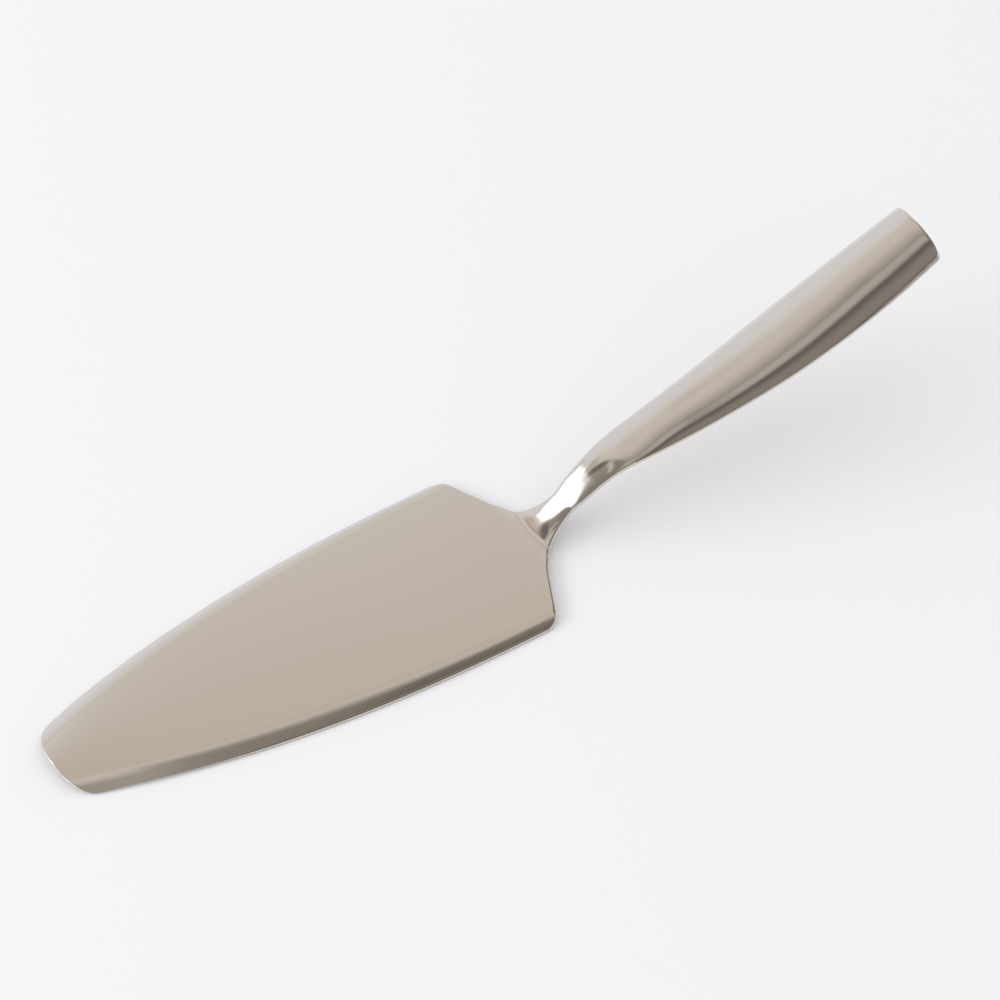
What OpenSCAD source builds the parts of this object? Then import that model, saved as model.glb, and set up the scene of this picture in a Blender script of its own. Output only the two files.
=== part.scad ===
// Cake server with a pressed blade and a hollow handle.
// The blade lies on its turned-down sides, +X runs from the tip to the end of the handle and +Z is up.
// Every piece is a loft: sections stand on one side line that runs flat under the blade, bends up
// through the neck and sweeps along the handle.

/* [Blade] */
// Length of the blade's sides, from the tip to where the shoulders start to round
blade_l = 126; // [90:0.5:170]
// Width across the shoulders
blade_w = 58; // [50:1:80]
// Width that the sides narrow to at the tip
tip_w = 21.5; // [14:0.5:40]
// Length over which the corners of the tip are rounded off
tip_round = 7; // [4:0.5:12]
// Thickness of the sheet
blade_t = 1.4; // [1.2:0.1:1.5]
// Width of the turned-down rim along each side, in front of where it narrows
rim_w = 5.25; // [4.75:0.25:6]
// Width that the rim narrows to at the shoulders, and stays at beyond them
rim_heel_w = 4.25; // [4:0.25:4.75]
// Length of side over which the rim narrows
rim_narrow_l = 60; // [30:5:85]
// Outer radius of the rim's bend, which narrows with it
rim_r = 6; // [4:0.25:6.5]
// Slant of the rim below its bend, in degrees
rim_slant = 33; // [28:1:38]
// Height of the rim's outer edge, above the foot that is ground flat under it
rim_edge = 0.9; // [0.7:0.05:1.1]
// Rise of the blade's middle above the top of its rims
crown = 0.4; // [0:0.1:1.2]
// Drop of the sheet at the tip
tip_dip = 0.5; // [0:0.1:0.5]
// Length over which the tip drops
tip_dip_l = 20; // [10:1:40]
// Radius of the shoulders
shoulder_r = 5; // [2:0.25:8]
// Slant of the heel's straight edge, in degrees from square across
heel_slant = 25; // [20:1:35]

/* [Neck] */
// Width of the neck at its narrowest
neck_w = 7.8; // [6:0.2:10]
// Radius between the heel and the neck
heel_fillet_r = 19; // [10:0.5:20]
// Distance from the start of the shoulders to where the sheet starts to gather into the neck
neck_from = 9; // [5:0.5:11]
// Distance from the start of the shoulders to where the neck starts to bend up
bend_start = 12.5; // [6:0.25:14]
// Radius of the upward bend
bend_up_r = 5.3; // [4:0.1:10]
// Steepest slope of the neck, in degrees
neck_slant = 36.5; // [30:0.5:44]
// Straight stretch at that slope
neck_straight = 20; // [15:0.5:22]
// Radius of the bend back towards the handle
bend_back_r = 26; // [20:1:50]
// Slope at the front of the handle, in degrees
front_slant = 9.2; // [4:0.1:16]
// Height of the neck's side edge, and of the lower shell's edge that carries it on
side_edge = 1.1; // [0.8:0.1:1.6]
// Rise of the neck's rounded top above its side edges
neck_crown = 1.6; // [1:0.1:2]

/* [Handle] */
// Length along the handle, from the narrowest part of the neck to the end
handle_l = 118.5; // [90:0.5:150]
// Greatest width of the handle
handle_w = 22; // [16:0.2:30]
// Height of the handle's arch above the seam at its widest
arch_h = 6.5; // [4:0.1:10]
// Height that the arch gains from its middle to its end
arch_gain = 2.2; // [0:0.1:3]
// Turn of the arch from its middle to its edge, in degrees, where its height suits its width
arch_spread = 59; // [50:1:64]
// Straight land along the lower edge of the arch
land_h = 0.2; // [0.2:0.1:1]
// Depth of the lower shell's belly at the widest part of the handle
belly_h = 2.4; // [1.6:0.1:4]
// Radius of the slow upward sweep of the handle
sweep_r = 340; // [200:5:600]
// Length over which the corners of the end are rounded off
end_round = 3.5; // [2.5:0.5:8]
// Length over which the arch grows out of the neck
arch_grow_l = 29; // [20:1:50]
// Wall of the two shells
shell_t = 0.6; // [0.4:0.05:0.9]
// Wall of the closed end
end_t = 1; // [0.6:0.1:3]
// Distance from the narrowest part of the neck to the mouth of the shells
mouth_at = 20; // [18:0.5:26]

/* [Tang and bedding] */
// Length of the tang inside the handle
tang_l = 32; // [20:1:40]
// Width of the tang
tang_w = 5; // [4:0.25:6]
// Thickness of the tang
tang_t = 1.6; // [1:0.1:1.8]
// Depth of the notches in the sides of the tang
tang_notch = 0.7; // [0.3:0.1:1.2]
// Depth of bedding beyond the end of the tang
bedding_beyond = 6; // [3:0.5:15]
// Gap that the bedding leaves as it shrinks
bedding_gap = 0.05; // [0.02:0.01:0.15]

/* [Hidden] */

// Steps of each stretch of the outline, and of half a section
tip_steps = 8;
side_steps = 14;
shoulder_steps = 5;
heel_steps = 3;
fillet_steps = 7;
neck_steps = 7;
shell_steps = 26;
end_steps = 7;
bedding_steps = 7;
notches = 3;
plateau_shares = [0, 0.3, 0.6, 0.85, 1];

// Wall of the upper shell where its arch springs from the seam, as a share of its wall
seam_share = 1.25;

// Roundness of the two ends and fullness of the sides, as powers of a superellipse
tip_power = 2.6;
end_power = 4;
side_power = 2.4;

// Width beyond the neck's along the handle: place as a share of its length, then share of the gain
width_shares = [
    [0, 0], [0.03, 0.08], [0.1, 0.19], [0.23, 0.44], [0.39, 0.7], [0.6, 0.96], [0.82, 1], [1, 0.87]
];

// Share of the handle's length from which its arch gains height
gain_from_share = 0.45;

// The rim bends over a share of its width, then falls straight to a foot where its underside meets
// the table
bend_share = rim_r * sin(rim_slant) / rim_w;
rim_foot = (blade_t / cos(rim_slant) - rim_edge) / tan(rim_slant);
bend_steps = 3;
half_steps = len(plateau_shares) + bend_steps + 1;

half_w = blade_w / 2;
neck_half = neck_w / 2;
heel_turn = 90 - heel_slant;

// Stretches of the side line after the bend's start
bend_up_l = bend_up_r * neck_slant * PI / 180;
bend_back_l = bend_back_r * (neck_slant - front_slant) * PI / 180;

// Places along the side line, from the start of the shoulders
heel_line_at = shoulder_r * sin(heel_turn);
heel_line_half = half_w - shoulder_r * (1 - cos(heel_turn));
fillet_half = neck_half + heel_fillet_r * (1 - cos(heel_turn));
fillet_at = heel_line_at + (heel_line_half - fillet_half) * tan(heel_slant);
neck_at = fillet_at + heel_fillet_r * sin(heel_turn);
mouth = neck_at + mouth_at;
handle_end = neck_at + handle_l;
end_round_at = handle_end - end_round;
cavity_end = handle_end - end_round - end_t;
tang_end = mouth + tang_l;
bedding_end = tang_end + bedding_beyond;

function clamp01(v) = min(1, max(0, v));
function ease(v) = let (c = clamp01(v)) c * c * (3 - 2 * c);
function mix(a, b, k) = a + (b - a) * k;

// Smooth curve through a table of [place, value]: each joint's slope is its neighbours' chord
function slope_at(table, i) =
    let (a = max(0, i - 1), b = min(len(table) - 1, i + 1))
    (table[b][1] - table[a][1]) / (table[b][0] - table[a][0]);
function cell_of(table, v, i = 0) =
    (i >= len(table) - 2 || v < table[i + 1][0]) ? i : cell_of(table, v, i + 1);
function curve(table, v) =
    let (
        i = cell_of(table, v),
        span = table[i + 1][0] - table[i][0],
        k = (v - table[i][0]) / span,
        m0 = slope_at(table, i) * span,
        m1 = slope_at(table, i + 1) * span
    )
    table[i][1] * (1 + 2 * k) * (1 - k) * (1 - k) + m0 * k * (1 - k) * (1 - k)
        + table[i + 1][1] * k * k * (3 - 2 * k) + m1 * k * k * (k - 1);

// The side line in side view: [x, z, slope] at a distance t from the start of the shoulders
function arc_step(from, r, turn) =
    let (s = sign(turn), a = from[2])
    [
        from[0] + s * r * (sin(a + turn) - sin(a)),
        from[1] - s * r * (cos(a + turn) - cos(a)),
        a + turn
    ];
function line_step(from, l) = [from[0] + l * cos(from[2]), from[1] + l * sin(from[2]), from[2]];
bend_up_from = [bend_start, 0, 0];
straight_from = arc_step(bend_up_from, bend_up_r, neck_slant);
bend_back_from = line_step(straight_from, neck_straight);
sweep_from = arc_step(bend_back_from, bend_back_r, front_slant - neck_slant);
straight_at = bend_start + bend_up_l;
bend_back_at = straight_at + neck_straight;
sweep_at = bend_back_at + bend_back_l;
function side_line(t) =
    t <= bend_start ? [t, 0, 0]
    : t <= straight_at ? arc_step(bend_up_from, bend_up_r, (t - bend_start) / bend_up_r * 180 / PI)
    : t <= bend_back_at ? line_step(straight_from, t - straight_at)
    : t <= sweep_at ? arc_step(bend_back_from, bend_back_r, (bend_back_at - t) / bend_back_r * 180 / PI)
    : arc_step(sweep_from, sweep_r, (t - sweep_at) / sweep_r * 180 / PI);

// Half width that the sides aim at, before the tip and the heel cut across it
function side_half(t) =
    mix(half_w, tip_w / 2, pow(clamp01(-t / blade_l), side_power));
function handle_half(t) =
    mix(neck_half, handle_w / 2, curve(width_shares, (t - neck_at) / handle_l));
function round_half(angle, power) = pow(sin(angle), 2 / power);
function round_in(angle, power) = 1 - pow(cos(angle), 2 / power);

// Outline of the blade and the neck: [place, half width]
tip_outline = [
    for (i = [1 : tip_steps])
        let (angle = 90 * i / tip_steps, t = -blade_l + tip_round * round_in(angle, tip_power))
        [t, side_half(t) * round_half(angle, tip_power)]
];
side_outline = [
    for (i = [1 : side_steps])
        let (t = -(blade_l - tip_round) * (1 - i / side_steps))
        [t, side_half(t)]
];
shoulder_outline = [
    for (i = [1 : shoulder_steps])
        let (angle = heel_turn * i / shoulder_steps)
        [shoulder_r * sin(angle), half_w - shoulder_r * (1 - cos(angle))]
];
heel_outline = [
    for (i = [1 : heel_steps])
        [
            mix(heel_line_at, fillet_at, i / heel_steps),
            mix(heel_line_half, fillet_half, i / heel_steps)
        ]
];
fillet_outline = [
    for (i = [1 : fillet_steps])
        let (angle = heel_turn * (1 - i / fillet_steps))
        [neck_at - heel_fillet_r * sin(angle), neck_half + heel_fillet_r * (1 - cos(angle))]
];
neck_outline = [
    for (i = [1 : neck_steps])
        let (t = mix(neck_at, mouth, i / neck_steps))
        [t, handle_half(t)]
];
blade_outline = concat(
    tip_outline, side_outline, shoulder_outline, heel_outline, fillet_outline, neck_outline
);

// Outline of the handle's shells
shell_outline = [
    for (i = [0 : shell_steps])
        let (t = mix(mouth, end_round_at, i / shell_steps))
        [t, handle_half(t)]
];
end_outline = [
    for (i = [1 : end_steps])
        let (angle = 90 - 84 * i / end_steps, t = handle_end - end_round * round_in(angle, end_power))
        [t, handle_half(t) * round_half(angle, end_power)]
];

// Width of the rim, the radius of its bend and the half width of the flat between the two rims
function rim_at(t) = mix(rim_w, rim_heel_w, ease(t / rim_narrow_l + 1));
function rim_r_at(t) = rim_r * rim_at(t) / rim_w;
function flat_half(t) = side_half(t) - rim_at(t);

// Shares of the half width at which a section has its points
function sheet_shares(t) =
    let (w = side_half(t))
    concat(
        [for (s = plateau_shares) s * flat_half(t) / w],
        [for (i = [1 : bend_steps]) (flat_half(t) + rim_at(t) * bend_share * i / bend_steps) / w],
        [(w - rim_foot) / w, 1]
    );
function arch_shares() = [for (i = [0 : half_steps]) sin(90 * i / half_steps)];

// How far a section has turned from pressed sheet, 0, into the arched neck, 1
function arched(t) = ease((t - neck_from) / (neck_at - neck_from));
function half_shares(t) =
    let (a = sheet_shares(t), b = arch_shares(), k = arched(t))
    [for (i = [0 : half_steps]) mix(a[i], b[i], k)];
function full_shares(t) =
    let (h = half_shares(t))
    concat([for (i = [half_steps : -1 : 1]) -h[i]], h);

// Fall of the sheet below its flat top at a distance into the rim, on its face or at a depth under it
function fall(t, over, deep) =
    let (r = rim_r_at(t))
    over < (r - deep) * sin(rim_slant) ? r - sqrt(pow(r - deep, 2) - over * over)
    : r * (1 - cos(rim_slant)) + (over - r * sin(rim_slant)) * tan(rim_slant) + deep / cos(rim_slant);
function rim_top(t) = rim_edge + fall(t, rim_at(t), 0);

// Heights of the pressed sheet over the table
function tip_drop(t) = tip_dip * (1 - ease((t + blade_l) / tip_dip_l));
function crown_at(t, y) = crown * (1 - pow(min(1, abs(y) / flat_half(t)), 2));
function into_rim(t, y) = min(rim_at(t), max(0, abs(y) - flat_half(t)));
function sheet_at(t, y, deep) =
    rim_top(t) - fall(t, into_rim(t, y), deep) + crown_at(t, y) - tip_drop(t);
function sheet_top(t, y) = sheet_at(t, y, 0);
function sheet_under(t, y) =
    into_rim(t, y) >= rim_at(t) - rim_foot ? 0 : max(0, sheet_at(t, y, blade_t));

// Heights of the neck and the handle over the side line, at a share of the half width
function grown(t) = ease((t - bend_back_at) / arch_grow_l);
function gained(t) = arch_gain * ease(((t - neck_at) / handle_l - gain_from_share) / (1 - gain_from_share));
function arch_rise(t) =
    mix(neck_crown, (arch_h + gained(t)) * handle_half(t) / (handle_w / 2), grown(t));
function belly_drop(t) = belly_h * handle_half(t) / (handle_w / 2) * grown(t);
arc_share = 1 / sin(arch_spread);
arc_low_share = 1 / tan(arch_spread);
function arch_at(share) =
    (sqrt(arc_share * arc_share - share * share) - arc_low_share) / (arc_share - arc_low_share);
function land(t) = land_h * grown(t);
function arch_top(t, share, wall = 0, closing = 1) =
    side_edge + land(t) + (arch_rise(t) - wall - land(t)) * arch_at(share) * closing;
function bowl_at(share) = 1 - share * share;
function belly_at(t, share) = -belly_drop(t) * bowl_at(share);

// Centre height of the tang, midway in the mouth
mouth_rise = arch_rise(mouth);
mouth_drop = belly_drop(mouth);
tang_z = (side_edge + mouth_rise - mouth_drop) / 2;

// A point of a section: y across and v square to the side line
function place(t, y, v) =
    let (s = side_line(t))
    [s[0] - v * sin(s[2]) - mid_x, y, s[1] + v * cos(s[2])];

// A ring is its upper points from -y to +y, then its lower points back
function ring(t, upper, lower) = concat(
    [for (p = upper) place(t, p[0], p[1])],
    [for (i = [len(lower) - 1 : -1 : 0]) place(t, lower[i][0], lower[i][1])]
);

// The blade's section, which becomes the solid neck
function blade_ring(t, half) =
    let (shares = full_shares(t), k = arched(t))
    ring(
        t,
        [for (s = shares) [s * half, mix(sheet_top(t, s * half), arch_top(t, s), k)]],
        [for (s = shares) [s * half, mix(sheet_under(t, s * half), belly_at(t, s), k)]]
    );

// The tang's section, flat on both sides
function tang_ring(t, half, grow = 0) =
    let (shares = full_shares(mouth))
    ring(
        t,
        [for (s = shares) [s * (half + grow), tang_z + tang_t / 2 + grow]],
        [for (s = shares) [s * (half + grow), tang_z - tang_t / 2 - grow]]
    );

// Sections of the shells out to a half width, which close in both ways as the end cuts it short;
// hollow is 1 over the cavity and 0 in the closed end
function upper_ring(t, half, hollow) =
    let (
        shares = full_shares(t),
        whole = handle_half(t),
        in = half - shell_t,
        arch_in = half - shell_t * seam_share,
        closing = half / whole
    )
    ring(
        t,
        concat(
            [[-half, side_edge]],
            [for (s = shares) [s * half, arch_top(t, s * closing, 0, closing)]],
            [[half, side_edge]]
        ),
        concat(
            [[-in, side_edge]],
            [for (s = shares) [s * arch_in, mix(side_edge, arch_top(t, s, shell_t), hollow)]],
            [[in, side_edge]]
        )
    );
function tray_floor(t, share) = belly_at(t, share) + shell_t;
function lower_ring(t, half, hollow) =
    let (
        shares = full_shares(t),
        last = len(shares) - 1,
        whole = handle_half(t),
        in = half - shell_t,
        closing = half / whole
    )
    ring(
        t,
        [
            for (i = [0 : last])
                i == 0 || i == last ? [shares[i] * half, side_edge]
                : i == 1 || i == last - 1 ? [sign(shares[i]) * in, side_edge]
                : [shares[i] * in, mix(side_edge, tray_floor(t, shares[i] * in / whole), hollow)]
        ],
        [for (s = shares) [s * half, belly_at(t, s * closing) * closing]]
    );

// The bedding's sections, round the tang and just inside both shells
function pocket_ring(p) =
    let (deep = p[0] == tang_end ? bedding_gap : 0)
    tang_ring(p[0] + deep, p[1], bedding_gap);
function bedding_ring(t) =
    let (
        shares = full_shares(t),
        whole = handle_half(t),
        in = whole - shell_t * seam_share - bedding_gap
    )
    ring(
        t,
        [for (s = shares) [s * in, arch_top(t, s, shell_t + bedding_gap)]],
        [for (s = shares) [s * in, tray_floor(t, s * in / whole) + bedding_gap]]
    );

// Half way between the tip and the furthest point of the handle, under its end
end_reach = max([
    for (p = end_outline)
        let (s = side_line(p[0]))
        s[0] + belly_drop(p[0]) * p[1] / handle_half(p[0]) * sin(s[2])
]);
mid_x = (tip_outline[0][0] + end_reach) / 2;

// A four-sided face as two triangles, cut along either of its diagonals
function quad(a, b, c, d, other) = other ? [[a, b, d], [b, c, d]] : [[a, b, c], [a, c, d]];

// A closed solid over rings of equal length, with both ends closed by strips
module loft(rings) {
    n = len(rings[0]);
    m = n / 2;
    last = (len(rings) - 1) * n;
    mid = (m - 1) / 2;
    // Diagonals mirror each other about the middle plane
    sides = [
        for (i = [0 : len(rings) - 2], j = [0 : n - 1])
            let (a = i * n + j, b = i * n + (j + 1) % n)
            each quad(a, b, b + n, a + n, j == n - 1 || j % m < mid)
    ];
    front = [
        for (j = [0 : m - 2])
            each quad(j, n - 1 - j, n - 2 - j, j + 1, j < mid)
    ];
    back = [
        for (j = [0 : m - 2])
            each quad(last + j, last + j + 1, last + n - 2 - j, last + n - 1 - j, j < mid)
    ];
    polyhedron(points = [for (r = rings) each r], faces = concat(sides, front, back), convexity = 6);
}

// Outline of the notched tang; a notch's corners are [lengths along, depths in]
notch_l = tang_l / (4 * notches + 2);
notch_corners = [[1, 0], [2, 1], [3, 1], [4, 0]];
tang_outline = concat(
    [[mouth, tang_w / 2]],
    [
        for (i = [0 : notches - 1], p = notch_corners)
            [mouth + (4 * i + p[0]) * notch_l, tang_w / 2 - p[1] * tang_notch]
    ],
    [[tang_end - notch_l, tang_w / 2], [tang_end, tang_w / 2 - tang_notch]]
);

module blade() {
    color("gainsboro")
        loft(concat(
            [for (p = blade_outline) blade_ring(p[0], p[1])],
            [for (p = tang_outline) tang_ring(p[0], p[1])]
        ));
}

module handle_upper_shell() {
    color("silver")
        loft(concat(
            [for (p = shell_outline) if (p[0] < cavity_end) upper_ring(p[0], p[1], 1)],
            [upper_ring(cavity_end, handle_half(cavity_end), 1)],
            [upper_ring(end_round_at, handle_half(end_round_at), 0)],
            [for (p = end_outline) upper_ring(p[0], p[1], 0)]
        ));
}

module handle_lower_shell() {
    color("darkgray")
        loft(concat(
            [for (p = shell_outline) if (p[0] < cavity_end) lower_ring(p[0], p[1], 1)],
            [lower_ring(cavity_end, handle_half(cavity_end), 1)],
            [lower_ring(end_round_at, handle_half(end_round_at), 0)],
            [for (p = end_outline) lower_ring(p[0], p[1], 0)]
        ));
}

module tang_bedding() {
    // The pocket runs from its closed end out to the mouth, then the outside runs back in
    color("dimgray")
        loft(concat(
            [for (i = [len(tang_outline) - 1 : -1 : 0]) pocket_ring(tang_outline[i])],
            [for (i = [0 : bedding_steps]) bedding_ring(mix(mouth, bedding_end, i / bedding_steps))]
        ));
}

blade();
handle_upper_shell();
handle_lower_shell();
tang_bedding();
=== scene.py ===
import math

import bpy
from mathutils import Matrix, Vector


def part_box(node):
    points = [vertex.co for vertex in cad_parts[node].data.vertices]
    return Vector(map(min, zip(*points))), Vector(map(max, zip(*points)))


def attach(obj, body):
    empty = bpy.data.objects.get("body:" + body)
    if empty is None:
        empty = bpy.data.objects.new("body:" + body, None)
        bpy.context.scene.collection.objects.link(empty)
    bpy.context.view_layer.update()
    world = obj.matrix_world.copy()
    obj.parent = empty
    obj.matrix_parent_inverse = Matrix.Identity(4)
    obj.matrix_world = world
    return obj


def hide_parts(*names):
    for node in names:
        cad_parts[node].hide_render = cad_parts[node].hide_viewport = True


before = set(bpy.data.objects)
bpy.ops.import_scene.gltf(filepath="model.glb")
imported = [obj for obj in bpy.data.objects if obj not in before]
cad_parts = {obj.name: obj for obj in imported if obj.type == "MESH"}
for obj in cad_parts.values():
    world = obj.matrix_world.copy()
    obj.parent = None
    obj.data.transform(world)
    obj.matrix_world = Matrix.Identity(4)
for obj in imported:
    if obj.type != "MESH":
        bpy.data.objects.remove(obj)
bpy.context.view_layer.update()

# The view. A long lens looks down on the server from over its near side, so that the blade points to the
# lower left and the handle rises to the upper right.
MM = 0.001
view_turn, view_height = math.radians(32.71), math.radians(48.05)
view_right = Vector((math.cos(view_turn), -math.sin(view_turn), 0))
view_away = Vector((math.sin(view_turn), math.cos(view_turn), 0))
look_at, view_distance = Vector((9.3, 15.5, 0)) * MM, 916.2 * MM
view_back = Vector((0, 0, 1)) * math.sin(view_height) - view_away * math.cos(view_height)
camera = bpy.data.objects.new("camera", bpy.data.cameras.new("camera"))
camera.data.sensor_width, camera.data.lens = 36, 126
camera.location = look_at + view_back * view_distance
camera.rotation_euler = (-view_back).to_track_quat("-Z", "Y").to_euler()
bpy.context.scene.collection.objects.link(camera)
bpy.context.scene.camera = camera
bpy.context.scene.view_settings.view_transform = "Standard"


# The table. It is matt pale card that takes a soft shadow, wide enough that its edge lies far out of view,
# and it is bent up gently at the rim like a paper sweep.
def linear(hex_colour):
    """A colour written as sRGB hex, as linear red, green, blue and alpha."""
    parts = [int(hex_colour[i:i + 2], 16) / 255 for i in (1, 3, 5)]
    return [c / 12.92 if c <= 0.04045 else ((c + 0.055) / 1.055) ** 2.4 for c in parts] + [1]


def add_node(tree, kind, inputs=None, **settings):
    """A new node with its settings, and its inputs either set or linked to another node's output."""
    node = tree.nodes.new(kind)
    for name, value in settings.items():
        setattr(node, name, value)
    for name, value in (inputs or {}).items():
        if isinstance(value, bpy.types.NodeSocket):
            tree.links.new(value, node.inputs[name])
        else:
            node.inputs[name].default_value = value
    return node


def new_material(name):
    """A material with only its output node, and its node tree."""
    material = bpy.data.materials.new(name)
    material.use_nodes = True
    tree = material.node_tree
    tree.nodes.clear()
    return material, tree, tree.nodes.new("ShaderNodeOutputMaterial")


def new_piece(name, points, faces, material, flat_faces=()):
    """An object from points in millimetres, with smooth faces and some flat ones."""
    mesh = bpy.data.meshes.new(name)
    mesh.from_pydata([Vector(p) * MM for p in points], [], [*faces, *flat_faces])
    mesh.materials.append(material)
    mesh.polygons.foreach_set("use_smooth", [True] * len(faces) + [False] * len(flat_faces))
    piece = bpy.data.objects.new(name, mesh)
    bpy.context.scene.collection.objects.link(piece)
    return piece


# Matt card: no gloss at all, and a tooth too fine to show, so its colour is even. A faint painted glow,
# emitted only into the steel's reflections, makes it look a touch paler in the steel than to the eye
card, tree, output = new_material("matt_pale_card")
in_steel = add_node(tree, "ShaderNodeLightPath").outputs["Is Glossy Ray"]
# Painted glow: the card emits a little light that only glossy rays see, with no lamp behind it
painted_glow_in_steel = add_node(tree, "ShaderNodeMath", {0: in_steel, 1: 0.1}, operation="MULTIPLY").outputs[0]
shader = add_node(tree, "ShaderNodeBsdfPrincipled", {
    "Base Color": linear("#F4F4F5"), "Roughness": 0.95, "Specular IOR Level": 0.1,
    "Emission Color": linear("#FAFBFF"), "Emission Strength": painted_glow_in_steel,
})
tree.links.new(shader.outputs["BSDF"], output.inputs["Surface"])
table_profile = [(700, 0), (1500, 0), (2300, 0), (2600, 12), (2800, 45)]
table_sides = 64
points = [(0, 0, 0)] + [
    (r * math.cos(math.tau * k / table_sides), r * math.sin(math.tau * k / table_sides), z)
    for r, z in table_profile for k in range(table_sides)
]
faces = [(0, 1 + k, 1 + (k + 1) % table_sides) for k in range(table_sides)]
for i in range(len(table_profile) - 1):
    for k in range(table_sides):
        a, b = 1 + i * table_sides + k, 1 + i * table_sides + (k + 1) % table_sides
        faces.append((a, a + table_sides, b + table_sides, b))
table = new_piece("table", points, faces, card)


# The blade with its neck and tang. One blank of stainless steel sheet, pressed with turned-down sides, its
# narrow end forged up into the neck and a notched flat tang, then ground and polished bright all over.
blade_l, blade_w, tip_w, tip_round, blade_t = 125.9, 58, 21.5, 7, 1.4
rim_w, rim_heel_w, rim_narrow_l, rim_r, rim_edge = 5.25, 4.25, 60, 6, 0.9
rim_slant, heel_turn = math.radians(33), math.radians(65)
crown, tip_dip, tip_dip_l, tip_power, side_power = 0.4, 0.5, 20, 2.6, 2.4
shoulder_r, neck_half, heel_fillet_r, neck_from, bend_start, bend_up_r = 5, 3.9, 19, 9, 12.5, 5.3
neck_slant, front_slant, arch_spread = math.radians(36.5), math.radians(9.2), math.radians(59)
neck_straight, bend_back_r, side_edge, neck_crown = 20, 26, 1.1, 1.6
neck_swell = math.radians(3)
handle_l, handle_w, arch_h, arch_gain, gain_from, land_h, belly_h = 118.5, 22, 6.5, 1.9, 0.45, 0.2, 2.4
sweep_r, end_round, end_power, arch_grow_l, mouth_at = 340, 3.5, 4, 29, 20
width_shares = [
    (0, 0), (0.03, 0.08), (0.1, 0.19), (0.23, 0.44), (0.39, 0.7), (0.6, 0.96), (0.82, 1), (1, 0.87),
]
mid_x = -blade_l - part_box("blade")[0].x / MM

half_w = blade_w / 2
rim_foot = (blade_t / math.cos(rim_slant) - rim_edge) / math.tan(rim_slant)
heel_line_at = shoulder_r * math.sin(heel_turn)
heel_line_half = half_w - shoulder_r * (1 - math.cos(heel_turn))
fillet_half = neck_half + heel_fillet_r * (1 - math.cos(heel_turn))
fillet_at = heel_line_at + (heel_line_half - fillet_half) / math.tan(heel_turn)
neck_at = fillet_at + heel_fillet_r * math.sin(heel_turn)
mouth, handle_end = neck_at + mouth_at, neck_at + handle_l


def mix(a, b, k):
    return a + (b - a) * k


def ease(v):
    v = min(1, max(0, v))
    return v * v * (3 - 2 * v)


def curve(table, v):
    """Smooth curve through (place, value) pairs, whose slope at each is its neighbours' chord."""
    i = 0
    while i < len(table) - 2 and v >= table[i + 1][0]:
        i += 1
    (x0, y0), (x1, y1) = table[i], table[i + 1]
    before, after = table[max(0, i - 1)], table[min(len(table) - 1, i + 2)]
    span = x1 - x0
    m0 = (y1 - before[1]) / (x1 - before[0]) * span
    m1 = (after[1] - y0) / (after[0] - x0) * span
    k = (v - x0) / span
    return (y0 * (1 + 2 * k) * (1 - k) ** 2 + m0 * k * (1 - k) ** 2
            + y1 * k * k * (3 - 2 * k) + m1 * k * k * (k - 1))


def arc_step(start, r, turn):
    """From a place and slope along an arc: x, z and slope after the turn."""
    s, a = math.copysign(1, turn), start[2]
    return (start[0] + s * r * (math.sin(a + turn) - math.sin(a)),
            start[1] - s * r * (math.cos(a + turn) - math.cos(a)), a + turn)


straight_at = bend_start + bend_up_r * neck_slant
bend_back_at = straight_at + neck_straight
sweep_at = bend_back_at + bend_back_r * (neck_slant - front_slant)
# The neck is a little less steep at both ends of its straight stretch than in the middle
neck_ends = neck_slant - neck_swell
up_r = (straight_at - bend_start) / neck_ends
back_r = (sweep_at - bend_back_at) / (neck_ends - front_slant)
straight_from = arc_step((bend_start, 0, 0), up_r, neck_ends)
bend_back_from = (straight_from[0] + neck_straight * math.cos(neck_slant),
                  straight_from[1] + neck_straight * math.sin(neck_slant), neck_ends)
sweep_from = arc_step(bend_back_from, back_r, front_slant - neck_ends)


def side_line(t):
    """The line along the blade's and the handle's sides, seen from the side: x, z and slope."""
    if t <= bend_start:
        return t, 0, 0
    if t <= straight_at:
        return arc_step((bend_start, 0, 0), up_r, (t - bend_start) / up_r)
    if t <= bend_back_at:
        along, wave = t - straight_at, math.tau * (t - straight_at) / neck_straight
        dip = neck_swell * neck_straight / math.tau * math.sin(wave)
        return (straight_from[0] + along * math.cos(neck_slant) + dip * math.sin(neck_slant),
                straight_from[1] + along * math.sin(neck_slant) - dip * math.cos(neck_slant),
                neck_slant - neck_swell * math.cos(wave))
    if t <= sweep_at:
        return arc_step(bend_back_from, back_r, (bend_back_at - t) / back_r)
    return arc_step(sweep_from, sweep_r, (t - sweep_at) / sweep_r)


def place(t, y, v):
    """A point at t along the side line, y across it and v square to it."""
    x, z, slope = side_line(t)
    return x - v * math.sin(slope) - mid_x, y, z + v * math.cos(slope)


def side_half(t):
    """The blade's half width."""
    return mix(half_w, tip_w / 2, min(1, max(0, -t / blade_l)) ** side_power)


def handle_half(t):
    """The neck's and the handle's half width."""
    return mix(neck_half, handle_w / 2, curve(width_shares, (t - neck_at) / handle_l))


def grown(t):
    """How far the handle's arch has grown out of the neck's section, from 0 to 1."""
    return ease((t - bend_back_at) / arch_grow_l)


def arch_rise(t):
    """Height of the arch over the side line's plane at the middle of the width."""
    gain = arch_gain * ease(((t - neck_at) / handle_l - gain_from) / (1 - gain_from))
    return mix(neck_crown, (arch_h + gain) * handle_half(t) / (handle_w / 2), grown(t))


def belly_drop(t):
    """How far the belly hangs under the side line."""
    return belly_h * handle_half(t) / (handle_w / 2) * grown(t)


def arch_top(t, share, wall=0, closing=1):
    """Height of the handle's arch at a share of its half width, less its wall."""
    land = land_h * grown(t)
    r, deep = 1 / math.sin(arch_spread), 1 / math.tan(arch_spread)
    arch = (math.sqrt(r * r - share * share) - deep) / (r - deep)
    return side_edge + land + (arch_rise(t) - wall - land) * arch * closing


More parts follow.
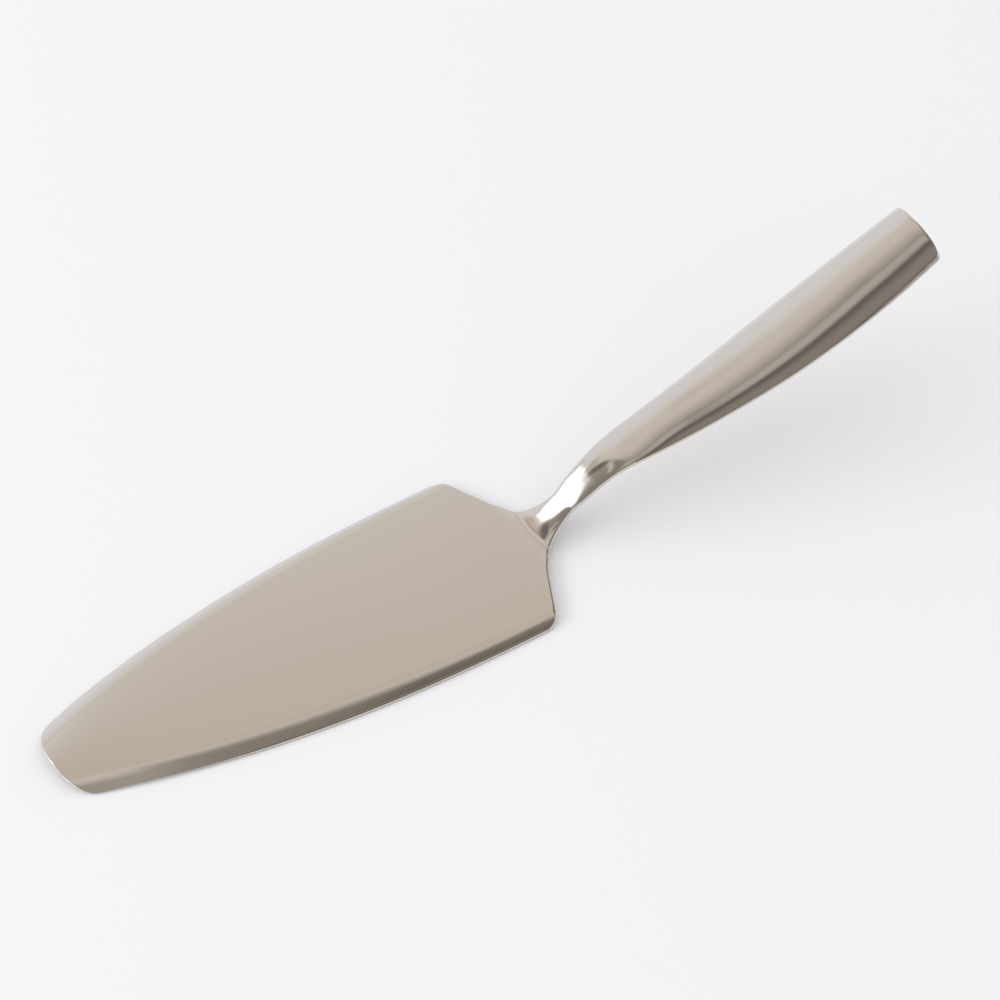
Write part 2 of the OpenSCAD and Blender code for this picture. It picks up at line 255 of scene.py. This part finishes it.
def rim_at(t):
    """Width of the turned-down rim."""
    return mix(rim_w, rim_heel_w, ease(t / rim_narrow_l + 1))


def rim_bend_at(t):
    return rim_r * rim_at(t) / rim_w * math.sin(rim_slant)


def fall(t, over, deep):
    """Fall of the sheet's face, at a depth under its top, at a distance into the rim."""
    r = rim_r * rim_at(t) / rim_w
    if over < (r - deep) * math.sin(rim_slant):
        return r - math.sqrt((r - deep) ** 2 - over * over)
    return (r * (1 - math.cos(rim_slant)) + (over - r * math.sin(rim_slant)) * math.tan(rim_slant)
            + deep / math.cos(rim_slant))


def sheet_z(t, y, deep):
    """Height of the blade's sheet, of its top or at a depth under it."""
    rim = rim_at(t)
    flat = side_half(t) - rim
    over = min(rim, max(0, abs(y) - flat))
    z = (rim_edge + fall(t, rim, 0) - fall(t, over, deep) + crown * (1 - min(1, abs(y) / flat) ** 2)
         - tip_dip * (1 - ease((t + blade_l) / tip_dip_l)))
    return max(0, z) if deep else z


def arched(t):
    """How far the flat sheet has turned into the neck's arched section, from 0 to 1."""
    return ease((t - neck_from) / (neck_at - neck_from))


def top_z(t, y, half):
    k, share = arched(t), y / half
    return mix(sheet_z(t, y, 0) if k < 1 else 0, arch_top(t, share), k)


def under_z(t, y, half):
    k, share = arched(t), y / half
    return mix(sheet_z(t, y, blade_t) if k < 1 else 0, -belly_drop(t) * (1 - share * share), k)


def steps(a, b, n):
    """n places after a, up to b."""
    return [mix(a, b, (i + 1) / n) for i in range(n)]


def round_end(a, power):
    """Distance back from a rounded end and share of the full width, at an angle round its corner."""
    return 1 - math.cos(a) ** (2 / power), math.sin(a) ** (2 / power)


def outline_with_normals(outline):
    """Adds to each (place, half width) the outward direction in plan."""
    full = []
    for i, (t, half) in enumerate(outline):
        before, after = outline[max(0, i - 1)], outline[min(len(outline) - 1, i + 1)]
        run, rise = after[0] - before[0], after[1] - before[1]
        size = math.hypot(run, rise)
        full.append((t, half, -rise / size, run / size))
    return full


def bend(a, corner, b, n):
    """Points of the curve that rounds a corner off, after a and up to b."""
    return [
        tuple(mix(mix(p, c, k), mix(c, q, k), k) for p, c, q in zip(a, corner, b))
        for k in steps(0, 1, n)
    ]


def closed_loft(rings, row):
    """Points, faces and flat end faces of a closed skin over rings. A ring is `row` points across the top,
    the points down the right edge, `row` points back across the underside and those up the left edge."""
    points, faces, ends = [p for ring in rings for p in ring], [], []
    n = len(rings[0])
    for i in range(len(rings) - 1):
        for j in range(n):
            a, b = i * n + j, i * n + (j + 1) % n
            faces.append((a, b, b + n, a + n))
    edge = (n - 2 * row) // 2
    for ring, flip in ((0, False), (len(rings) - 1, True)):
        at = ring * n
        rows = [[at + j for j in range(row)]]
        for k in range(edge):
            left, right = at + n - 1 - k, at + row + k
            inner = []
            for j in range(1, row - 1):
                share = j / (row - 1)
                inner.append(len(points))
                points.append(tuple(mix(p, q, share) for p, q in zip(points[left], points[right])))
            rows.append([left] + inner + [right])
        rows.append([at + row + edge + row - 1 - j for j in range(row)])
        for upper, lower in zip(rows, rows[1:]):
            for j in range(row - 1):
                quad = (upper[j], lower[j], lower[j + 1], upper[j + 1])
                ends.append(quad[::-1] if flip else quad)
    return points, faces, ends


plateau = [0.12, 0.24, 0.36, 0.48, 0.6, 0.7, 0.8, 0.88, 0.95, 0.985]
rim_bend_steps, rim_steps, edge_steps = 7, 2, 6
# Rounding of the sheet's upper edge and of its foot: along the sides, at the tip and in the neck. The tip's
# foot is a bevel, which grows over the last stretch and takes most of the edge's height
side_rounds, tip_rounds, neck_rounds = (0.8, 0.22), (0.3, 1.2), (0.2, 0.25)
bevel_from, bevel_grow_l, side_foot_share, tip_foot_share = 70, 40, 0.5, 0.9


def half_shares(t):
    """Shares of the half width where a section has its points, close together over the rim's bend."""
    k, wide = arched(t), side_half(t)
    rim, rim_bend = rim_at(t), rim_bend_at(t)
    flat = wide - rim
    sheet = [p * flat / wide for p in plateau] + [flat / wide]
    sheet += [(flat + rim_bend * s) / wide for s in steps(0, 1, rim_bend_steps)]
    sheet += [(flat + s) / wide for s in steps(rim_bend, rim - rim_foot, rim_steps)]
    sheet += [(flat + s) / wide for s in steps(rim - rim_foot, rim, rim_steps)]
    last = len(sheet)
    return [mix(s, math.sin(math.pi / 2 * (i + 1) / last), k) for i, s in enumerate(sheet)]


def blade_ring(t, half, out_t, out_y):
    """One ring of the blade and neck, with its outward direction in plan."""
    k, tip = arched(t), ease((-t - bevel_from) / bevel_grow_l)
    z_top, z_foot = top_z(t, half, half), under_z(t, half, half)
    e, f = (mix(mix(at_side, at_tip, tip), in_neck, k)
            for at_side, at_tip, in_neck in zip(side_rounds, tip_rounds, neck_rounds))
    f = min(f, (z_top - z_foot) * mix(side_foot_share, tip_foot_share, tip))
    e = min(e, z_top - z_foot - f)
    in_t, in_y = t - e * out_t, half - e * out_y
    shares = half_shares(in_t)
    shares = [-s for s in shares[::-1]] + [0] + shares
    top = [(in_t, s * in_y, top_z(in_t, s * in_y, half)) for s in shares]
    foot_t, foot_y = t - f * out_t, half - f * out_y
    under = [(foot_t, s * foot_y, under_z(foot_t, s * foot_y, half)) for s in shares[::-1]]
    drop, lift = (t, half, z_top - e), (t, half, z_foot + f)
    right = bend(top[-1], (t, half, z_top), drop, edge_steps) + [lift]
    cut = tip * f / 2  # straightens the foot's curve into the bevel
    right += bend(lift, (t - cut * out_t, half - cut * out_y, z_foot + cut), under[0], edge_steps)[:-1]
    left = [(a, -b, c) for a, b, c in right[::-1]]
    return [place(*p) for p in top + right + under + left]


# The outline in plan: round the tip, along the side, round the shoulder, down the heel, into the neck
tip_steps, side_steps, shoulder_steps, heel_steps, fillet_steps, neck_steps = 26, 50, 14, 10, 26, 44
outline = []
for a in steps(math.radians(1), math.pi / 2, tip_steps):
    back, wide = round_end(a, tip_power)
    t = -blade_l + tip_round * back
    outline.append((t, side_half(t) * wide))
outline += [(t, side_half(t)) for t in steps(-(blade_l - tip_round), 0, side_steps)]
outline += [(shoulder_r * math.sin(a), half_w - shoulder_r * (1 - math.cos(a)))
            for a in steps(0, heel_turn, shoulder_steps)]
outline += [(mix(heel_line_at, fillet_at, k), mix(heel_line_half, fillet_half, k))
            for k in steps(0, 1, heel_steps)]
outline += [(neck_at - heel_fillet_r * math.sin(a), neck_half + heel_fillet_r * (1 - math.cos(a)))
            for a in steps(heel_turn, 0, fillet_steps)]
stations = outline_with_normals(outline)
# The neck's last ring lies just short of the mouth, so that its shading runs straight into the handle's
before_mouth, at_mouth = mouth - 0.5, mouth - 0.002
stations += [(t, handle_half(t), 0, 1) for t in [*steps(neck_at, before_mouth, neck_steps), at_mouth]]
rings = [blade_ring(*station) for station in stations]

# The neck's end face at the mouth of the handle, then the tang. Each notch takes four steps of its length:
# a full one, one down, one along and one up
row = 2 * len(half_shares(0)) + 1
n = len(rings[0])
rings.append(blade_ring(mouth, handle_half(mouth), 0, 1))
tang_l, tang_w, tang_t, tang_notch, notches = 32, 5, 1.6, 0.7, 3
tang_z = (side_edge + arch_rise(mouth) - belly_drop(mouth)) / 2
notch_l = tang_l / (4 * notches + 2)
tang_outline = [(mouth, tang_w / 2)]
for i in range(notches):
    for place_in, deep in ((1, 0), (2, 1), (3, 1), (4, 0)):
        tang_outline.append((mouth + (4 * i + place_in) * notch_l, tang_w / 2 - deep * tang_notch))
tang_outline += [(mouth + tang_l - notch_l, tang_w / 2), (mouth + tang_l, tang_w / 2 - tang_notch)]


def tang_ring(t, half):
    """A flat ring with as many points as the blade's."""
    edge = (n - 2 * row) // 2
    across = [mix(-half, half, j / (row - 1)) for j in range(row)]
    top, low = tang_z + tang_t / 2, tang_z - tang_t / 2
    down = [mix(top, low, (k + 1) / (edge + 1)) for k in range(edge)]
    ring = [(t, y, top) for y in across] + [(t, half, z) for z in down]
    ring += [(t, y, low) for y in across[::-1]] + [(t, -half, z) for z in down[::-1]]
    return [place(*p) for p in ring]


rings += [tang_ring(*station) for station in tang_outline]


# Bright-polished stainless steel: a metal that mirrors its surroundings a little softly and warmly, with
# fine lines left by the polishing wheel and faint rub marks
def polished_steel(name, colour, roughness, line_size):
    """The material; line_size is a polishing line's length, width and depth in millimetres."""
    material, tree, output = new_material(name)
    coords = add_node(tree, "ShaderNodeTexCoord").outputs["Object"]
    lines_scale, rub_size = [1 / (size * MM) for size in line_size], 28
    lines = add_node(tree, "ShaderNodeMapping", {"Vector": coords, "Scale": lines_scale})
    hair = add_node(tree, "ShaderNodeTexNoise", {
        "Vector": lines.outputs["Vector"], "Scale": 1.0, "Detail": 3.0, "Roughness": 0.6,
    })
    cloud = add_node(tree, "ShaderNodeTexNoise", {
        "Vector": coords, "Scale": 1 / (rub_size * MM), "Detail": 4.0, "Roughness": 0.55,
    })
    rough = add_node(tree, "ShaderNodeMapRange", {
        "Value": cloud.outputs["Fac"], "From Min": 0.3, "From Max": 0.7,
        "To Min": roughness * 0.8, "To Max": roughness * 1.25,
    })
    bump = add_node(tree, "ShaderNodeBump", {
        "Height": hair.outputs["Fac"], "Strength": 0.06, "Distance": 0.02 * MM,
    })
    shader = add_node(tree, "ShaderNodeBsdfPrincipled", {
        "Base Color": linear(colour), "Metallic": 1.0,
        "Roughness": rough.outputs["Result"], "Normal": bump.outputs["Normal"],
    })
    tree.links.new(shader.outputs["BSDF"], output.inputs["Surface"])
    return material


blade_steel = polished_steel("bright_polished_stainless_blade", "#CDC8C1", 0.12, (9, 0.3, 0.3))
points, faces, ends = closed_loft(rings, row)
blade = new_piece("pressed_blade_with_neck", points, faces, blade_steel, ends)
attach(blade, "root")
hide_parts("blade")


# The upper half of the hollow handle. Thin stainless steel sheet pressed into a long arch with a closed
# square end, soldered along its lower edges to the other half, then polished with it.
shell_t, seam_share, end_t = 0.6, 1.25, 1
top_round, least_round, lip_round, seam_gap, seam_deep = 0.2, 0.001, 0.12, 0.12, 0.5
end_back, end_droop, mouth_step = 0.3, 0.03, 0.02
arch_steps, cavity_steps, end_steps, lip_steps = 22, 84, 34, 3
cavity_end = handle_end - end_round - end_t
arch_shares = [math.sin(math.pi / 2 * i / arch_steps) for i in range(-arch_steps, arch_steps + 1)]


def handle_stations():
    """Stations of both shells: place, half width, how hollow it is there, and the outward direction."""
    places = [mouth, mouth + mouth_step, *steps(mouth + mouth_step, cavity_end, cavity_steps)]
    hollow = len(places)
    outline = [(t, handle_half(t)) for t in [*places, handle_end - end_round]]
    for a in steps(math.radians(90), math.radians(0.3), end_steps):
        back, wide = round_end(a, end_power)
        t = handle_end - end_back - (end_round - end_back) * back
        outline.append((t, handle_half(t) * wide))
    return [(t, half, int(i < hollow), out_t, out_y)
            for i, (t, half, out_t, out_y) in enumerate(outline_with_normals(outline))]


def upper_ring(t, half, hollow, out_t, out_y):
    """One ring of the upper half: over the arch, round the lip and the seam's groove, and back inside."""
    closing, inside = half / handle_half(t), half - shell_t
    arch_in = half - shell_t * seam_share
    lip, f = side_edge + seam_gap * grown(t), lip_round * grown(t)
    drooped = closing ** end_droop
    z_side = arch_top(t, closing, 0, drooped)
    e = max(least_round, min(top_round, (z_side - lip - f) / 2))
    in_t, in_y = t - e * max(0, out_t), half - e * out_y
    top = [(in_t, s * in_y, arch_top(in_t, s * in_y / handle_half(in_t), 0, drooped)) for s in arch_shares]
    lift = (t, half, lip + f)
    right = bend(top[-1], (t, half, z_side), (t, half, z_side - e), lip_steps) + [lift]
    right += bend(lift, (t, half, lip), (t, half - f, lip), lip_steps)
    right += [(t, half - seam_deep, lip), (t, half - seam_deep, side_edge), (t, inside, side_edge)]
    under = [(t, s * arch_in, mix(side_edge, arch_top(t, s, shell_t), hollow)) for s in arch_shares[::-1]]
    left = [(a, -b, c) for a, b, c in right[::-1]]
    return [place(*p) for p in top + right + under + left]


points, faces, ends = closed_loft([upper_ring(*s) for s in handle_stations()], len(arch_shares))
handle_steel = polished_steel("bright_polished_stainless_handle", "#CDC8C1", 0.1, (14, 0.3, 0.3))
upper = new_piece("handle_upper_half", points, faces, handle_steel, ends)
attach(upper, "root")
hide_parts("handle_upper_shell")


# The lower half of the handle. A shallow dished strip of the same sheet, whose edge shows as a thin bright
# line under the seam, soldered on and polished flush.
belly_round = 0.25


def lower_ring(t, half, hollow):
    """One ring of the lower half: across its hollow, round the seam's groove and lip, and under the belly."""
    whole, e, f = handle_half(t), lip_round * grown(t), belly_round
    closing, inside = half / whole, half - shell_t

    def tray(share):
        return -belly_drop(t) * (1 - share * share) + shell_t

    def belly(share):
        return -belly_drop(t) * (1 - (share * closing) ** 2) * closing

    inner = [s * inside for s in arch_shares]
    top = [(t, y, mix(side_edge, tray(y / whole), hollow)) for y in inner]
    top[0], top[-1] = (t, -inside, side_edge), (t, inside, side_edge)
    lip = side_edge - seam_gap * grown(t)
    drop, lift = (t, half, lip - e), (t, half, f)
    right = [(t, half - seam_deep, side_edge), (t, half - seam_deep, lip), (t, half - e, lip)]
    right += bend(right[-1], (t, half, lip), drop, lip_steps) + [lift]
    under = [(t, s * (half - f), belly(s * (half - f) / half)) for s in arch_shares[::-1]]
    right += bend(lift, (t, half, 0), under[0], lip_steps)[:-1]
    left = [(a, -b, c) for a, b, c in right[::-1]]
    return [place(*p) for p in top + right + under + left]


points, faces, ends = closed_loft([lower_ring(*s[:3]) for s in handle_stations()], len(arch_shares))
lower = new_piece("handle_lower_half", points, faces, handle_steel, ends)
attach(lower, "root")
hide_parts("handle_lower_shell")


# The bedding round the tang. Hard resin poured into the front of the handle, where it grips the notches; it
# sets dull and dark and isn't seen once the handle is on.
bedding, tree, output = new_material("cast_dark_resin")
coords = add_node(tree, "ShaderNodeTexCoord").outputs["Object"]
grains = add_node(tree, "ShaderNodeTexNoise", {"Vector": coords, "Scale": 1 / (0.8 * MM), "Detail": 4.0})
tint = add_node(tree, "ShaderNodeMix", {
    "Factor": grains.outputs["Fac"], "A": linear("#3A3734"), "B": linear("#4B4843"),
}, data_type="RGBA")
bump = add_node(tree, "ShaderNodeBump", {
    "Height": grains.outputs["Fac"], "Strength": 0.2, "Distance": 0.05 * MM,
})
shader = add_node(tree, "ShaderNodeBsdfPrincipled", {
    "Base Color": tint.outputs["Result"], "Roughness": 0.6, "Normal": bump.outputs["Normal"],
})
tree.links.new(shader.outputs["BSDF"], output.inputs["Surface"])
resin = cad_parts["tang_bedding"]
resin.data.materials.clear()
resin.data.materials.append(bedding)


# The light. One wide soft box stands to the left, and the room round the table is plain: pale backdrop low
# down, warm wall and ceiling over the far side, dim behind the camera. All its bounds are in degrees.
lamp_towards, lamp_distance = view_right * -0.85 + view_away * -0.12 + Vector((0, 0, 0.5)), 2.0
lamp = bpy.data.objects.new("soft_box_left", bpy.data.lights.new("soft_box_left", "AREA"))
lamp.data.shape = "RECTANGLE"
lamp.data.size, lamp.data.size_y = 2.2, 0.62
lamp.data.energy, lamp.data.color = 13, linear("#FFFDFA")[:3]
lamp.location = look_at + lamp_towards.normalized() * lamp_distance
lamp.rotation_euler = (-lamp_towards).to_track_quat("-Z", "Y").to_euler()
bpy.context.scene.collection.objects.link(lamp)

world = bpy.data.worlds.new("plain_room")
bpy.context.scene.world = world
world.use_nodes = True
tree = world.node_tree
tree.nodes.clear()
output = tree.nodes.new("ShaderNodeOutputWorld")


def maths(kind, a, b=0.0, c=0.0):
    """The output of a math node."""
    return add_node(tree, "ShaderNodeMath", {0: a, 1: b, 2: c}, operation=kind).outputs[0]


def rise(value, start, end):
    """0 below start, 1 above end, and smooth between them; both in degrees."""
    return add_node(tree, "ShaderNodeMapRange", {
        "Value": value, "From Min": math.radians(start), "From Max": math.radians(end),
    }, interpolation_type="SMOOTHSTEP").outputs["Result"]


direction = add_node(tree, "ShaderNodeTexCoord").outputs["Generated"]
turned = add_node(tree, "ShaderNodeVectorRotate", {
    "Vector": direction, "Axis": (0, 0, 1), "Angle": view_turn,
}, rotation_type="AXIS_ANGLE")
parts = add_node(tree, "ShaderNodeSeparateXYZ", {"Vector": turned.outputs["Vector"]})
# Turn over the scene from the far side's horizon, through straight up, to the near side's, and turn aside
over = maths("ARCTAN2", parts.outputs["Z"], parts.outputs["Y"])
aside = maths("ARCSINE", parts.outputs["X"])


def blend(amount, a, b, kind="MIX"):
    """Colour b over colour a, each a socket or sRGB hex."""
    a, b = (linear(c) if isinstance(c, str) else c for c in (a, b))
    return add_node(tree, "ShaderNodeMix", {"Factor": amount, "A": a, "B": b}, data_type="RGBA",
                    blend_type=kind).outputs["Result"]


def all_of(first, *others):
    """Product of amounts between 0 and 1."""
    for other in others:
        first = maths("MULTIPLY", first, other)
    return first


def fall_off(value, start, end):
    """1 below start, 0 above end."""
    return maths("SUBTRACT", 1.0, rise(value, start, end))


# The far side, in shares of half a turn over: pale backdrop, warm wall, ceiling with a lit strip at its edge
far_side = add_node(tree, "ShaderNodeValToRGB", {"Fac": maths("DIVIDE", over, math.pi)})
stops = [(0.0, "#F2F4FB"), (0.2, "#F5F4F8"), (0.29, "#F3F0F0"), (0.4, "#EBE5E0"), (0.5, "#E5DDD5"),
         (0.55, "#DFD7CF"), (0.6, "#D0C8C0"), (0.65, "#BDB6AF"), (0.675, "#AEA8A2"), (0.705, "#C8C3BE"),
         (0.73, "#C6C2BD")]
ramp = far_side.color_ramp
while len(ramp.elements) < len(stops):
    ramp.elements.new(1.0)
for element, (at, colour) in zip(ramp.elements, stops):
    element.position, element.color = at, linear(colour)
far_colour = far_side.outputs["Color"]
warm = blend(rise(over, 38, 54), "#F8F4EE", "#E9E4DA")
warm_wall = all_of(rise(aside, -30, -8), fall_off(over, 64, 88))
warm_corner = all_of(rise(over, 50, 62), fall_off(aside, -42, -34))
light_side = blend(warm_wall, far_colour, warm, "MULTIPLY")
light_side = blend(warm_corner, light_side, "#DDD5CC", "MULTIPLY")

# The near side is a dimmer room: darker past the ceiling's edge, in the upper corners and along the near
# horizon, with a paler wall to the left and a pale door in it
near_side = blend(all_of(rise(over, 133, 140), fall_off(over, 142, 158), rise(aside, 5, 15)),
                  "#97918A", "#716F6B")
near_side = blend(fall_off(aside, -25, -18), near_side, "#A39E97")
across = maths("MULTIPLY_ADD", over, -0.47, aside)
door = all_of(rise(across, -70.8, -69.8), fall_off(across, -66, -65),
              rise(over, 92, 98), fall_off(over, 120, 128))
near_side = blend(door, near_side, "#E0D9D0")
left_corner = all_of(rise(over, 76, 82), fall_off(over, 92, 100), fall_off(aside, -30, -22))
near_side = blend(left_corner, near_side, "#716E6B")
near_side = blend(all_of(rise(aside, 22, 31), fall_off(over, 112, 125)), near_side, "#75706A")
near_side = blend(rise(over, 173, 179), near_side, "#4A4743")

# Where the near side shows: past the ceiling's edge, which reaches nearer to the far side at the left, and
# in two areas at the right
past_corner = maths("SUBTRACT", over, math.radians(79))
past_slant = maths("SUBTRACT", over, maths("ADD", aside, math.radians(112.5)))
at_left = all_of(rise(maths("MINIMUM", past_corner, past_slant), 0, 5), fall_off(aside, 2, 8))
past_edge = maths("MAXIMUM", rise(over, 133, 142), at_left)
low_right = all_of(rise(aside, 12, 24), fall_off(over, 60, 80))
high_right = all_of(rise(maths("MULTIPLY_ADD", over, -0.45, aside), -42, -34), rise(over, 72, 114))
near = maths("MAXIMUM", past_edge, maths("MAXIMUM", low_right, high_right))
room = blend(near, light_side, near_side)

# A white screen stands to the left, lit by the soft box, inside a pale frame. Its side is the furthest right
# of four lines
screen_side = math.radians(-49.5)
for slant, level in ((-0.12, -44.5), (0.25, -66.5), (0.42, -82.5)):
    line = maths("MULTIPLY_ADD", over, slant, math.radians(level))
    screen_side = maths("MAXIMUM", screen_side, line)
past_screen = maths("SUBTRACT", aside, screen_side)
room = blend(all_of(fall_off(past_screen, 2, 5), fall_off(over, 46, 56)), room, "#DDE0EA")
screen = all_of(fall_off(past_screen, -0.8, 0.8), rise(aside, -68, -63))
room = blend(screen, room, "#F8FAFF")

# The steel mirrors that room; the camera sees a pale backdrop, and all else is lit evenly
path = add_node(tree, "ShaderNodeLightPath")
plain = add_node(tree, "ShaderNodeBackground", {"Color": linear("#FDFDFF"), "Strength": 0.88})
seen = add_node(tree, "ShaderNodeBackground", {"Color": linear("#F3F3F5"), "Strength": 1.0})
room_strength, screen_extra = 1.1, 1.0
mirrored = add_node(tree, "ShaderNodeBackground", {
    "Color": room, "Strength": maths("MULTIPLY_ADD", screen, screen_extra, room_strength),
})
lit = add_node(tree, "ShaderNodeMixShader", {
    0: path.outputs["Is Glossy Ray"], 1: plain.outputs[0], 2: mirrored.outputs[0],
})
final = add_node(tree, "ShaderNodeMixShader", {
    0: path.outputs["Is Camera Ray"], 1: lit.outputs[0], 2: seen.outputs[0],
})
tree.links.new(final.outputs[0], output.inputs["Surface"])
